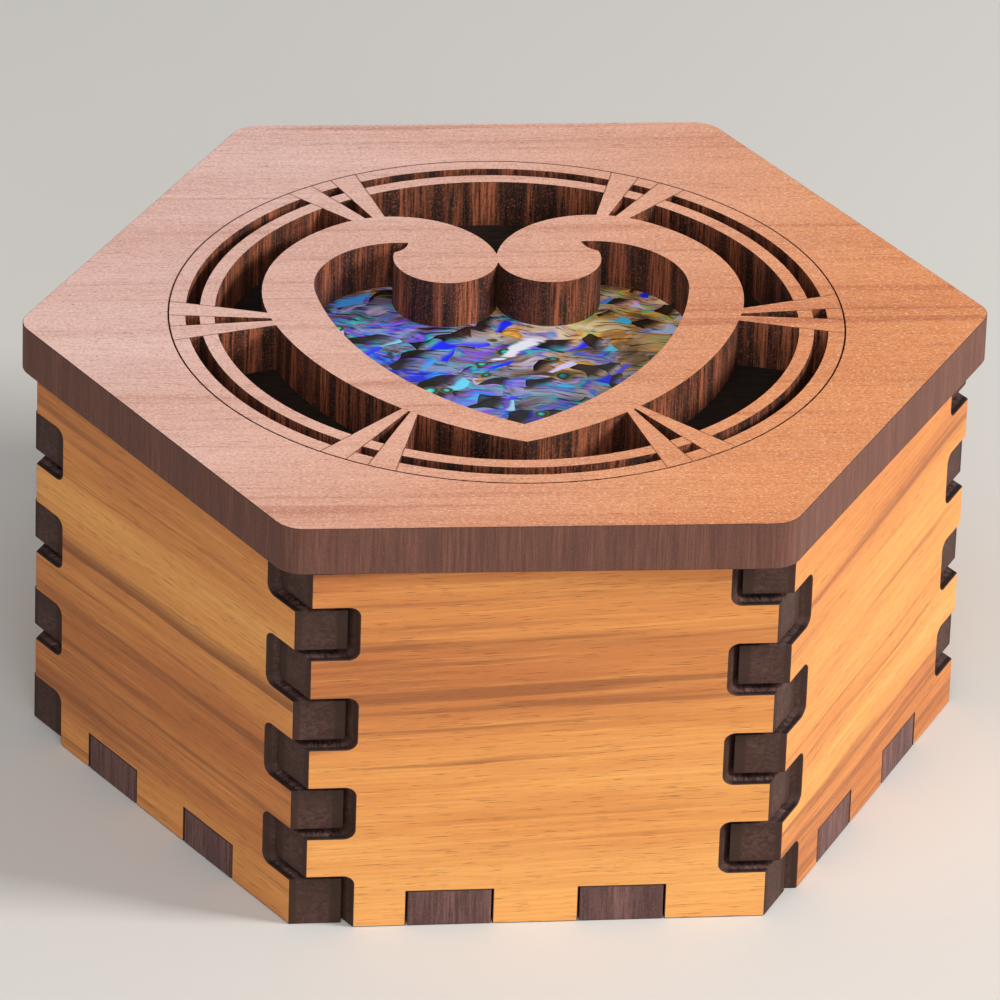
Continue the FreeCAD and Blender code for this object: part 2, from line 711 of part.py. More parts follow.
def bedplate():
    body = doc.addObject("PartDesign::Body", "bed_blank")
    left, right = "places.bed_left", "places.bed_right"
    front, back, bevel = "places.bed_front", "places.bed_back", "sizes.bed_bevel"
    corners = [
        (f"{left} + {bevel}", front), (f"{right} - {bevel}", front),
        (right, f"{front} + {bevel}"), (right, f"{back} - {bevel}"),
        (f"{right} - {bevel}", back), (f"{left} + {bevel}", back),
        (left, f"{back} - {bevel}"), (left, f"{front} + {bevel}")]
    plate = pad(body, "bed_board", sketch(body, "bed_outline", [corners]), "sizes.bed_thick")
    rounded(body, "bed_corners", plate, "sizes.bed_corner")
    put(body, z="sizes.floor_thick")
    low, deep = "places.bed_top - sizes.screw_depth", "sizes.screw_depth + sizes.overrun"
    under, through = "sizes.floor_thick - sizes.overrun", "sizes.bed_thick + 2 * sizes.overrun"
    holes = screw_holes("bed_bracket_hole", BRACKET_SCREW_PLACES, low, deep)
    holes += screw_holes("bed_ear_hole", HOUSING_SCREW_PLACES, low, deep)
    holes += screw_holes("bed_mount_hole", MOUNT_PLACES, under, through, "sizes.mount_radius")
    holes.append(rod("bed_pivot_hole", "sizes.arbor_pivot + sizes.running_gap", through, z=under))
    return piece("bedplate", cut("bedplate", body, holes))


def mounting_screws():
    low = "sizes.mount_recess"
    length = "sizes.floor_thick + sizes.bed_thick - sizes.mount_recess"
    screws = screws_at("mount_screw", MOUNT_PLACES, low, low, length, size="mount")
    return piece("mounting_screws", group("mounting_screws", screws))


def spring_housing():
    outer, wall_thick = "sizes.housing_radius", "sizes.housing_wall"
    bore, tall = "(sizes.arbor_radius + sizes.running_gap)", "sizes.housing_height"
    cup = revolved("housing_cup", [
        (f"{outer} - {wall_thick}", "0"), (outer, "0"), (outer, tall), (bore, tall),
        (bore, f"{tall} - {wall_thick}"), (f"{outer} - {wall_thick}", f"{tall} - {wall_thick}")])
    put(cup, z="places.bed_top")
    ears = []
    neck = f"places.ear_y - {outer} + {wall_thick} / 2"
    for side, y, start in (("front", "-places.ear_y", "-places.ear_y"),
                           ("back", "places.ear_y", f"{outer} - {wall_thick} / 2")):
        ears.append(rod(f"ear_{side}", "sizes.ear_radius", "sizes.ear_thick", "0", y, "places.bed_top"))
        ears.append(box(f"ear_neck_{side}", "-sizes.ear_radius", start, "places.bed_top",
                        "2 * sizes.ear_radius", neck, "sizes.ear_thick"))
    inside = rod("housing_inside", f"{outer} - {wall_thick}", f"{tall} - {wall_thick}", z="places.bed_top")
    flange = cut("housing_ears", fuse("housing_ear_pair", ears), [inside])
    holes = screw_holes("ear_hole", HOUSING_SCREW_PLACES, "places.bed_top - sizes.overrun",
                        "sizes.ear_thick + 2 * sizes.overrun")
    whole = fuse("housing_whole", [cup, flange])
    return piece("spring_housing", cut("spring_housing", whole, holes))


def mainspring():
    """Flat spiral strip that ends just inside the housing's wall."""
    last = sizes.housing_radius - sizes.housing_wall - sizes.spring_thick - sizes.running_gap
    first = last - sizes.spring_pitch * sizes.spring_turns
    inner, outer = [], []
    for step in range(int(sizes.spring_turns * sizes.spring_steps) + 1):
        turns = step / sizes.spring_steps
        radius = first + sizes.spring_pitch * turns
        inner.append(on_circle(radius, 360 * turns))
        outer.append(on_circle(radius + sizes.spring_thick, 360 * turns))
    strip = solid(inner + outer[::-1], sizes.spring_strip)
    print("mainspring: gap between turns", round(sizes.spring_pitch - sizes.spring_thick, 3), "mm")
    return piece("mainspring", drawn("mainspring", strip, z=places.bed_top))


def winding_arbor():
    """Upright shaft with a pivot at its foot and a square at its head."""
    foot = "places.bed_top + sizes.running_gap"
    shoulder_low = "places.crown_top + sizes.shoulder_lift"
    pivot = rod("arbor_pivot_end", "sizes.arbor_pivot", "sizes.bed_thick",
                z="sizes.floor_thick + sizes.running_gap")
    stem = rod("arbor_stem", "sizes.arbor_radius", f"places.shoulder_z - ({foot})", z=foot)
    shoulder = rod("arbor_shoulder", "sizes.shoulder_radius", f"places.shoulder_z - ({shoulder_low})",
                   z=shoulder_low)
    square = box("arbor_square", "-sizes.square_width / 2", "-sizes.square_width / 2", "places.shoulder_z",
                 "sizes.square_width", "sizes.square_width", "sizes.square_height")
    square_turned = group("arbor_square_turned", [square])
    square_turned.setExpression("Placement.Rotation.Angle", "sizes.lid_turn")
    return piece("winding_arbor", fuse("winding_arbor", [pivot, stem, shoulder, square_turned]))


# Gears

def tooth_corners(root, tip, half):
    """Corners of a straight-sided tooth: distance from the axis, then offset to its side."""
    return [(root, -sizes.root_share * half), (tip, -sizes.tip_share * half),
            (tip, sizes.tip_share * half), (root, sizes.root_share * half)]


def gear(teeth, module, face, bore, phase):
    """Spur gear about +Z, with thin straight-sided teeth."""
    pitch_radius = module * teeth / 2
    root = pitch_radius - sizes.dedendum_share * module
    tip = pitch_radius + sizes.addendum_share * module
    half = sizes.tooth_share * half_pitch(teeth)
    points = []
    for tooth in range(int(teeth)):
        middle = phase + tooth * 360 / teeth
        points += [on_circle(radius, middle + offset) for radius, offset in tooth_corners(root, tip, half)]
    return solid(points, face).cut(Part.makeCylinder(bore, face))


def half_pitch(teeth):
    return 180 / teeth


def drive_wheel():
    """Crown wheel: a disc with upright teeth round its rim."""
    inner, outer = places.crown_inner, places.crown_outer
    half = sizes.tooth_share * half_pitch(sizes.crown_teeth)
    height = (sizes.addendum_share + sizes.dedendum_share) * sizes.crown_module
    teeth = []
    for tooth in range(int(sizes.crown_teeth)):
        middle = tooth * 360 / sizes.crown_teeth
        corners = [on_circle(inner, middle - half), on_circle(outer, middle - half),
                   on_circle(outer, middle + half), on_circle(inner, middle + half)]
        bar = solid(corners, height + sizes.embed)
        bar.translate(FreeCAD.Vector(0, 0, sizes.crown_disc - sizes.embed))
        teeth.append(bar)
    disc = Part.makeCylinder(outer, sizes.crown_disc)
    bore = Part.makeCylinder(sizes.arbor_radius, sizes.crown_disc)
    shape = disc.fuse(teeth).cut(bore).removeSplitter()
    return piece("drive_wheel", drawn("drive_wheel", shape.Solids[0], z=places.crown_z))


def train_gears():
    pinion = gear(sizes.pinion_teeth, sizes.crown_module, sizes.crown_face, sizes.spindle_radius,
                  270 + half_pitch(sizes.pinion_teeth))
    big = gear(sizes.gear_teeth, sizes.train_module, sizes.gear_face, sizes.spindle_radius, 0)
    small = gear(sizes.idler_teeth, sizes.train_module, sizes.gear_face, sizes.idler_spindle,
                 180 + half_pitch(sizes.idler_teeth))
    wheel = gear(sizes.wheel_teeth, sizes.worm_module, sizes.wheel_face, sizes.idler_spindle, 0)
    for label, shape, x, y in (
            ("cylinder_pinion", pinion, places.crown_inner, 0),
            ("cylinder_gear", big, places.gear_x, 0),
            ("idler_pinion", small, places.gear_x, places.idler_y),
            ("worm_wheel", wheel, places.worm_x - sizes.wheel_face / 2, places.idler_y)):
        piece(label, drawn(label, shape, x, y, places.axis_z, ALONG_X))


def faceted(sections):
    """Solid through a row of four-cornered sections, with flat facets between them."""
    outlines = [sections[0], sections[-1]]
    for near, far in zip(sections, sections[1:]):
        for i in range(4):
            following = (i + 1) % 4
            outlines.append([near[i], near[following], far[following]])
            outlines.append([near[i], far[following], far[i]])
    faces = [Part.Face(Part.makePolygon(outline + outline[:1])) for outline in outlines]
    return Part.makeSolid(Part.makeShell(faces))


def worm_shaft():
    """Upright spindle with a one-start thread, whose ridge clears the wheel's tooth at the axis height."""
    lead = math.pi * sizes.worm_module
    root = sizes.worm_radius - sizes.dedendum_share * sizes.worm_module
    tip = sizes.worm_radius + sizes.addendum_share * sizes.worm_module
    corners = tooth_corners(root - sizes.embed / 2, tip, sizes.tooth_share * lead / 2)
    start = -lead / 4 - lead * math.floor(sizes.worm_turns / 2)
    sections = []
    for step in range(int(sizes.worm_turns * sizes.worm_steps) + 1):
        turns = step / sizes.worm_steps
        sections.append([on_circle(radius, 360 * turns) + FreeCAD.Vector(0, 0, start + lead * turns + offset)
                         for radius, offset in corners])
    thread = faceted(sections)
    length = lead * sizes.worm_turns + 2 * sizes.worm_margin
    core = Part.makeCylinder(root, length, FreeCAD.Vector(0, 0, start - sizes.worm_margin))
    low = places.worm_low_z - places.axis_z
    high = places.fan_z + sizes.fan_height - places.axis_z
    spindle = Part.makeCylinder(sizes.worm_spindle, high - low, FreeCAD.Vector(0, 0, low))
    shape = core.fuse([thread, spindle]).removeSplitter()
    return piece("worm_shaft", drawn("worm_shaft", shape, places.worm_x, places.worm_y, places.axis_z))


def air_brake():
    x, y, span, tall = "places.worm_x", "places.worm_y", "sizes.fan_span", "sizes.fan_height"
    blade = box("fan_blade", f"{x} - {span} / 2", f"{y} - sizes.fan_thick / 2", "places.fan_z",
                span, "sizes.fan_thick", tall)
    hub = rod("fan_hub_blank", "sizes.fan_hub", tall, x, y, "places.fan_z")
    bore = rod("fan_bore", "sizes.worm_spindle", f"{tall} + 2 * sizes.overrun", x, y,
               "places.fan_z - sizes.overrun")
    return piece("air_brake", cut("air_brake", fuse("fan_blank", [blade, hub]), [bore]))


# Cylinder, comb and brackets

def cylinder():
    """Barrel with a spread of pins, one ring of them for each comb tooth."""
    barrel = Part.makeCylinder(sizes.barrel_radius, places.barrel_length)
    half = sizes.pin_width / 2
    pins = []
    for note in range(int(sizes.note_count)):
        height = (note + 0.5) * places.barrel_length / sizes.note_count
        for pin in range(int(sizes.pins_per_note)):
            shift = sizes.pin_shift_share * (note * pin % 3)
            turns = note * sizes.pin_turn_share + pin / sizes.pins_per_note + shift
            bar = Part.makeBox(sizes.pin_height + sizes.embed, sizes.pin_width, sizes.pin_width,
                               FreeCAD.Vector(sizes.barrel_radius - sizes.embed, -half, height - half))
            bar.rotate(FreeCAD.Vector(), FreeCAD.Vector(0, 0, 1), 360 * turns)
            pins.append(bar)
    bore = Part.makeCylinder(sizes.spindle_radius, places.barrel_length)
    shape = barrel.fuse(pins).cut(bore).removeSplitter()
    barrel_at = (places.barrel_x, 0, places.axis_z)
    return piece("cylinder", drawn("cylinder", shape.Solids[0], *barrel_at, ALONG_X))


def spindles():
    end = "places.train_x + sizes.bracket_thick"
    for label, radius, start, y in (
            ("cylinder_arbor", "sizes.spindle_radius", "places.crown_radius - sizes.crown_face", "0"),
            ("idler_arbor", "sizes.idler_spindle", "places.governor_x", "places.idler_y")):
        piece(label, rod(label, radius, f"{end} - ({start})", start, y, "places.axis_z", ALONG_X))


def comb():
    """Steel comb, drawn with its tips towards +Y; the slots shorten from bass to treble."""
    pitch, half = places.barrel_length / sizes.note_count, sizes.comb_slot / 2
    last = int(sizes.note_count) - 1
    corners = [(places.barrel_length, -sizes.comb_length), (0, -sizes.comb_length)]
    for note in range(last + 1):
        left, right = note * pitch + half, (note + 1) * pitch - half
        depth = sizes.comb_longest + (sizes.comb_shortest - sizes.comb_longest) * note / last
        corners += [(left, 0), (right, 0)]
        if note < last:
            corners += [(right, -depth), (right + sizes.comb_slot, -depth)]
    plate = solid([FreeCAD.Vector(x, y, 0) for x, y in corners], sizes.comb_thick)
    raw = drawn("comb_plate", plate, places.barrel_x, places.comb_tip_y, places.comb_z)
    holes = screw_holes("comb_hole", COMB_SCREW_PLACES, "places.comb_z - sizes.overrun",
                        "sizes.comb_thick + 2 * sizes.overrun")
    piece("comb", cut("comb", raw, holes))
    block = box("comb_block", "places.barrel_x", "places.comb_back_y", "places.bed_top",
                "places.barrel_length", "sizes.comb_base_depth", "places.comb_z - places.bed_top")
    threads = screw_holes("comb_thread", COMB_SCREW_PLACES, "places.comb_z - sizes.screw_depth",
                          "sizes.screw_depth + sizes.overrun")
    piece("comb_base", cut("comb_base", block, threads))
    screw_set("comb_screws", COMB_SCREW_PLACES, "(places.comb_z + sizes.comb_thick)", "sizes.comb_thick")


def bearing(name, x, y, spindle):
    """Hole for a spindle through an upright plate."""
    return rod(name, f"{spindle} + sizes.running_gap", "sizes.bracket_thick + 2 * sizes.overrun",
               f"{x} - sizes.overrun", y, "places.axis_z", ALONG_X)


def foot_holes(name, spots):
    return screw_holes(name, spots, "places.bed_top - sizes.overrun", "sizes.foot_thick + 2 * sizes.overrun")


def cylinder_bracket():
    x, half, thick, low = "places.bracket_x", "sizes.bracket_half", "sizes.bracket_thick", "places.bed_top"
    plate = box("cylinder_plate", x, f"-{half}", low, thick, f"2 * {half}", f"places.axis_z - {low}")
    crest = rod("cylinder_crest", half, thick, x, "0", "places.axis_z", ALONG_X)
    foot = box("cylinder_foot", x, f"-{half}", low,
               f"{thick} + sizes.foot_length", f"2 * {half}", "sizes.foot_thick")
    holes = foot_holes("cylinder_foot_hole", BRACKET_SCREW_PLACES[0:2])
    holes.append(bearing("cylinder_bearing", x, "0", "sizes.spindle_radius"))
    whole = fuse("cylinder_upright", [plate, crest, foot])
    return piece("cylinder_bracket", cut("cylinder_bracket", whole, holes))


def train_bracket():
    x, half, thick, low = "places.train_x", "sizes.bracket_half", "sizes.bracket_thick", "places.bed_top"
    wide = f"places.idler_y + {half} + sizes.idler_boss"
    plate = box("train_plate", x, f"-{half}", low, thick, wide, f"places.axis_z - {low}")
    link = box("train_link", x, "0", "places.axis_z", thick, "places.idler_y", "sizes.idler_boss")
    front = rod("train_crest_front", half, thick, x, "0", "places.axis_z", ALONG_X)
    back = rod("train_crest_back", "sizes.idler_boss", thick, x, "places.idler_y", "places.axis_z", ALONG_X)
    foot = box("train_foot", f"{x} - sizes.foot_length", f"-{half}", low,
               f"sizes.foot_length + {thick}", wide, "sizes.foot_thick")
    holes = foot_holes("train_foot_hole", BRACKET_SCREW_PLACES[2:4])
    holes.append(bearing("train_bearing_front", x, "0", "sizes.spindle_radius"))
    holes.append(bearing("train_bearing_back", x, "places.idler_y", "sizes.idler_spindle"))
    whole = fuse("train_upright", [plate, link, foot, front, back])
    return piece("train_bracket", cut("train_bracket", whole, holes))


def governor_frame():
    """Upright with two arms that carry the worm's pivots."""
    x, thick, half, low = "places.governor_x", "sizes.bracket_thick", "sizes.arm_half", "places.bed_top"
    near = "(places.idler_y - sizes.idler_boss)"
    wide = f"places.worm_y + {half} - {near}"
    upright_plate = box("governor_plate", x, near, low, thick, wide,
                        f"places.worm_high_z + sizes.arm_thick - {low}")
    foot = box("governor_foot", f"{x} - sizes.foot_length", near, low,
               f"sizes.foot_length + {thick}", wide, "sizes.foot_thick")
    solids = [upright_plate, foot]
    holes = foot_holes("governor_foot_hole", BRACKET_SCREW_PLACES[4:6])
    holes.append(bearing("governor_bearing", x, "places.idler_y", "sizes.idler_spindle"))
    for arm, z in (("low", "places.worm_low_z"), ("high", "places.worm_high_z")):
        solids.append(box(f"governor_arm_{arm}", x, f"places.worm_y - {half}", z, "sizes.governor_reach",
                          f"2 * {half}", "sizes.arm_thick"))
        solids.append(rod(f"governor_tip_{arm}", half, "sizes.arm_thick",
                          "places.worm_x", "places.worm_y", z))
        holes.append(rod(f"governor_pivot_{arm}", "sizes.worm_spindle + sizes.running_gap",
                         "sizes.arm_thick + 2 * sizes.overrun",
                         "places.worm_x", "places.worm_y", f"{z} - sizes.overrun"))
    return piece("governor_frame", cut("governor_frame", fuse("governor_whole", solids), holes))


def check_and_write():
    """Stop on any failed object or bad shape, then write every piece."""
    doc.recompute()
    failed = [o.Label for o in doc.Objects if "Invalid" in o.State or "Error" in o.State]
    bad = [p.Label for p in pieces if p.Shape.isNull() or not p.Shape.isValid() or p.Shape.Volume <= 0]
    if failed or bad:
        raise RuntimeError(f"failed objects: {failed}; bad shapes: {bad}")
    os.makedirs("parts", exist_ok=True)
    for thing in pieces:
        thing.Shape.exportStep(f"parts/{thing.Label}.step")
    print(len(pieces), "pieces written")


WALLS = [
    "wall_front", "wall_front_right", "wall_back_right",
    "wall_back", "wall_back_left", "wall_front_left"]
for wall_index, wall_name in enumerate(WALLS):
    wall(wall_name, wall_index)
floor_panel()
lid_plate()
fretwork_insert()
shell_and_backing()
lid_hub()
bedplate()
mounting_screws()
spring_housing()
screw_set("housing_screws", HOUSING_SCREW_PLACES, "(places.bed_top + sizes.ear_thick)", "sizes.ear_thick")
mainspring()
winding_arbor()
drive_wheel()
train_gears()
worm_shaft()
air_brake()
cylinder()
spindles()
comb()
cylinder_bracket()
train_bracket()
governor_frame()
screw_set("bracket_screws", BRACKET_SCREW_PLACES, "(places.bed_top + sizes.foot_thick)", "sizes.foot_thick")
check_and_write()
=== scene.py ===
import math

import bmesh
import bpy
from mathutils import Matrix, Vector

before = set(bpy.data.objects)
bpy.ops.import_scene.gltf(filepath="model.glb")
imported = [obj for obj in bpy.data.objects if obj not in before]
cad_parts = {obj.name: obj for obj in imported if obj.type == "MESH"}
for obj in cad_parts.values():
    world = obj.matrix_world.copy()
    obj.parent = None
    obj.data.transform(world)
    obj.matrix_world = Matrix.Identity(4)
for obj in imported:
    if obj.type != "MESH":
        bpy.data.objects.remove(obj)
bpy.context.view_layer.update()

# Dresses the wind-up music box: veneered walls with laser-burnt edges, a lid with a fret-cut heart over
# shell, and the metal movement inside. Patterns are measured in millimetres, shapes in metres.

MILLIMETRES = 1000.0        # in a metre
LID_TURN = -1.3             # degrees, as the lid stands on the box
LID_TOP = 0.0578
LID_SIDE = 0.062
WALLS = [
    "wall_front", "wall_front_right", "wall_back_right",
    "wall_back", "wall_back_left", "wall_front_left"]
WALL_FACE = 52.22           # outer face of a wall from the middle of the box
WALL_THICK = 5.7
KERF_RADIUS = 42.93         # cut between the fretwork and the lid

# Paired bars between heart and rings: how far each edge stands from the pair's middle line, at the heart
# and at the far end.
BAR_START = 27.0
BAR_LENGTH = 14.825
BAR_EDGES = ((0.05, 1.4), (0.85, 5.0))
RINGS_START = 36.7

# Roundings of the wooden sheets.
SLOT_ROUNDING = 0.00044
WALL_EDGE = 0.00016
FLOOR_EDGE = 0.00015
LID_EDGE = 0.0001

# Grain of each wall: a seed, its slope in degrees, pairs of heights between which the wood darkens by a
# share, and the height of a dark seam where there is one.
WALL_GRAIN = {
    "wall_front": (17.0, 2.5, ((24, 40, 0.12), (30, 12, -0.1)), None),
    "wall_front_right": (58.0, 1.5, ((30, 12, 0.06),), None),
    "wall_back_right": (99.0, -1.0, ((12, 40, 0.08),), None),
    "wall_back": (140.0, 2.0, ((40, 20, 0.08),), 14.0),
    "wall_back_left": (181.0, -2.0, ((20, 44, 0.1),), None),
    "wall_front_left": (222.0, 1.0, ((31.2, 30.2, 0.17), (37, 45, 0.14)), 30.5),
}


def paint(red, green, blue):
    """A colour given as 0 to 255 values, as the shader wants it."""
    def linear(value):
        share = value / 255
        return share / 12.92 if share <= 0.04045 else ((share + 0.055) / 1.055) ** 2.4
    return (linear(red), linear(green), linear(blue), 1.0)


class Finish:
    """One surface finish, put together node by node."""

    def __init__(self, name, turn=0.0, **shader_values):
        self.material = bpy.data.materials.new(name)
        self.material.use_nodes = True
        self.nodes = self.material.node_tree.nodes
        self.links = self.material.node_tree.links
        self.shader = self.nodes["Principled BSDF"]
        for socket, value in shader_values.items():
            self.shader.inputs[socket.replace("_", " ")].default_value = value
        where = self.nodes.new("ShaderNodeTexCoord")
        self.place = self.mapped(where.outputs["Object"], (MILLIMETRES,) * 3, turn)
        self.facing = self.mapped(where.outputs["Normal"], (1, 1, 1), turn)

    def feed(self, socket, value):
        if isinstance(value, bpy.types.NodeSocket):
            self.links.new(value, socket)
        else:
            socket.default_value = value

    def mapped(self, source, scale, turn=0.0, shift=(0, 0, 0), tilt=0.0):
        node = self.nodes.new("ShaderNodeMapping")
        self.feed(node.inputs["Vector"], source)
        node.inputs["Scale"].default_value = scale
        node.inputs["Rotation"].default_value = (0, math.radians(tilt), math.radians(turn))
        node.inputs["Location"].default_value = shift
        return node.outputs["Vector"]

    def sum(self, operation, first, second=0.0, third=0.0):
        node = self.nodes.new("ShaderNodeMath")
        node.operation = operation
        for socket, value in zip(node.inputs, (first, second, third)):
            self.feed(socket, value)
        return node.outputs[0]

    def vector(self, operation, first, second):
        node = self.nodes.new("ShaderNodeVectorMath")
        node.operation = operation
        self.feed(node.inputs[0], first)
        self.feed(node.inputs[1], second)
        return node.outputs["Value" if operation in ("DOT_PRODUCT", "LENGTH") else "Vector"]

    def parts(self, vector):
        node = self.nodes.new("ShaderNodeSeparateXYZ")
        self.feed(node.inputs[0], vector)
        return node.outputs

    def joined(self, x, y, z):
        node = self.nodes.new("ShaderNodeCombineXYZ")
        for socket, value in zip(node.inputs, (x, y, z)):
            self.feed(socket, value)
        return node.outputs[0]

    def noise(self, scale, detail=3.0, roughness=0.5, shift=(0, 0, 0), source=None, colour=False):
        node = self.nodes.new("ShaderNodeTexNoise")
        self.feed(node.inputs["Vector"], self.mapped(source or self.place, scale, shift=shift))
        node.inputs["Scale"].default_value = 1.0
        node.inputs["Detail"].default_value = detail
        node.inputs["Roughness"].default_value = roughness
        return node.outputs["Color" if colour else "Fac"]

    def cells(self, source, feature="F1"):
        node = self.nodes.new("ShaderNodeTexVoronoi")
        node.feature = feature
        self.feed(node.inputs["Vector"], source)
        node.inputs["Scale"].default_value = 1.0
        return node.outputs

    def span(self, value, low, high, start=0.0, end=1.0):
        """Soft step of a value from low to high."""
        node = self.nodes.new("ShaderNodeMapRange")
        node.interpolation_type = "SMOOTHSTEP"
        self.feed(node.inputs["Value"], value)
        for socket, number in zip(("From Min", "From Max", "To Min", "To Max"), (low, high, start, end)):
            node.inputs[socket].default_value = number
        return node.outputs["Result"]

    def ramp(self, value, *stops):
        node = self.nodes.new("ShaderNodeValToRGB")
        self.feed(node.inputs["Fac"], value)
        points = node.color_ramp.elements
        while len(points) < len(stops):
            points.new(1.0)
        for point, (position, colour) in zip(points, stops):
            point.position = position
            point.color = colour
        return node.outputs["Color"]

    def blend(self, share, first, second, mode="MIX"):
        node = self.nodes.new("ShaderNodeMix")
        node.data_type = "RGBA"
        node.blend_type = mode
        self.feed(node.inputs["Factor"], share)
        self.feed(node.inputs[6], first)
        self.feed(node.inputs[7], second)
        return node.outputs[2]

    def relief(self, height, depth):
        """Bump of a given depth in millimetres."""
        node = self.nodes.new("ShaderNodeBump")
        node.inputs["Distance"].default_value = depth / MILLIMETRES
        self.feed(node.inputs["Height"], height)
        self.feed(self.shader.inputs["Normal"], node.outputs["Normal"])

    def colour(self, value):
        self.feed(self.shader.inputs["Base Color"], value)

    def rough(self, value):
        self.feed(self.shader.inputs["Roughness"], value)


def long_grain(finish, tones, seed, tilt=0.0, wander=1.6, stains=(), seam=None):
    """Wood grain along X: fine fibres, broad bands, streaks and short pores. Gives its colour and height."""
    pale, middle, dark, line = tones
    drift = finish.noise((0.022, 0.03, 0.05), detail=2, shift=(seed, 0, 0))
    lift = finish.sum("MULTIPLY_ADD", drift, wander, -wander / 2)
    sloped = finish.mapped(finish.place, (1, 1, 1), tilt=tilt)
    bent = finish.vector("ADD", sloped, finish.joined(0.0, lift, lift))
    level = finish.parts(bent)[2]
    fibres = finish.noise((0.05, 2.6, 2.6), 6, 0.6, (seed, seed, 0), bent)
    bands = finish.noise((0.007, 0.085, 0.085), 4, 0.55, (0, seed, seed), bent)
    for low, high, share in stains:
        bands = finish.sum("ADD", bands, finish.span(level, low, high, 0.0, share))
    streaks = finish.noise((0.011, 0.6, 0.6), 3, 0.55, (seed, 3 * seed, 0), bent)
    streaks = finish.sum("MULTIPLY_ADD", bands, 0.5, finish.sum("SUBTRACT", streaks, 0.27))
    pores = finish.noise((0.3, 7.0, 7.0), 2, 0.5, (seed, 0, 2 * seed), bent)
    colour = finish.ramp(bands, (0.3, pale), (0.5, middle), (0.72, dark))
    colour = finish.blend(finish.span(fibres, 0.35, 0.65, 0.28, 0.0), colour, dark)
    colour = finish.blend(finish.span(fibres, 0.5, 0.78, 0.0, 0.5), colour, pale)
    colour = finish.blend(finish.span(streaks, 0.55, 0.74, 0.0, 0.65), colour, line)
    colour = finish.blend(finish.span(pores, 0.6, 0.74, 0.0, 0.5), colour, line)
    if seam is not None:
        ragged = finish.sum("MULTIPLY_ADD", fibres, 1.6, level)
        above = finish.span(ragged, seam + 3.6, seam + 0.8, 0.0, 0.8)
        below = finish.span(ragged, seam + 0.3, seam + 0.6)
        colour = finish.blend(finish.sum("MULTIPLY", above, below), colour, line)
    height = finish.sum("SUBTRACT", fibres, finish.span(pores, 0.6, 0.74, 0.0, 0.8))
    return colour, height


def burnt_edge(finish, across, pale, dark, soot_and_shade_share=0.55):
    """Laser-cut edge, with striations that run through the sheet's thickness."""
    stripe = finish.noise(across, 5, 0.75)
    soot_and_shade = finish.noise(tuple(0.13 * share for share in across), 2, 0.5, (7, 7, 7))
    grit = finish.noise((4.0, 4.0, 4.0), 3, 0.7)
    colour = finish.ramp(stripe, (0.4, dark), (0.62, pale))
    # Soot mottling on the char; a high share also stands for painted shade on edges deep in the lid's
    # cut-outs.
    colour = finish.blend(finish.span(soot_and_shade, 0.36, 0.64, 0.0, soot_and_shade_share), colour, dark)
    colour = finish.blend(finish.span(grit, 0.54, 0.68, 0.0, 0.6), colour, pale)
    colour = finish.blend(finish.span(grit, 0.46, 0.32, 0.0, 0.6), colour, dark)
    return colour, finish.sum("MULTIPLY_ADD", grit, 0.6, stripe)


def sheet_wood(finish, face, edge, along, rim_colour, rim_share=0.75):
    """Wood face where the sheet faces along one axis, burnt edge elsewhere, and a burnt rim between."""
    square = finish.sum("ABSOLUTE", finish.parts(finish.facing)[along])
    is_face = finish.span(square, 0.93, 0.995)
    is_rim = finish.sum("MULTIPLY", finish.span(square, 0.05, 0.4), finish.span(square, 0.995, 0.9))
    colour = finish.blend(is_face, edge[0], face[0])
    finish.colour(finish.blend(finish.sum("MULTIPLY", is_rim, rim_share), colour, rim_colour))
    finish.relief(finish.blend(is_face, edge[1], face[1]), 0.05)
    finish.rough(finish.span(is_face, 0.0, 1.0, 0.62, 0.52))


def wall_wood(index, name):
    finish = Finish(f"{name}_veneer", turn=-60 * index, Specular_IOR_Level=0.25)
    seed, tilt, stains, seam = WALL_GRAIN[name]
    tones = (paint(242, 175, 98), paint(227, 153, 82), paint(192, 117, 64), paint(136, 80, 48))
    face = long_grain(finish, tones, seed, tilt, stains=stains, seam=seam)
    colour, height = burnt_edge(finish, (2.2, 0.5, 2.2), paint(138, 103, 96), paint(46, 33, 31))
    depth = finish.sum("ADD", finish.parts(finish.place)[1], WALL_FACE)
    sooted = finish.sum("MAXIMUM", finish.span(depth, 0.9, 0.55, 0.0, 0.85),
                        finish.span(depth, WALL_THICK - 1.5, WALL_THICK - 1.1, 0.0, 0.85))
    colour = finish.blend(sooted, colour, paint(26, 19, 18))
    sheet_wood(finish, face, (colour, height), 1, paint(66, 42, 32))
    return finish.material


def floor_wood():
    finish = Finish("floor_board", Specular_IOR_Level=0.3)
    tones = (paint(226, 164, 100), paint(210, 144, 84), paint(184, 116, 68), paint(140, 86, 50))
    face = long_grain(finish, tones, seed=5.0)
    edge = burnt_edge(finish, (2.4, 2.4, 0.12), paint(130, 94, 89), paint(80, 54, 51))
    sheet_wood(finish, face, edge, 2, paint(66, 42, 36))
    return finish.material


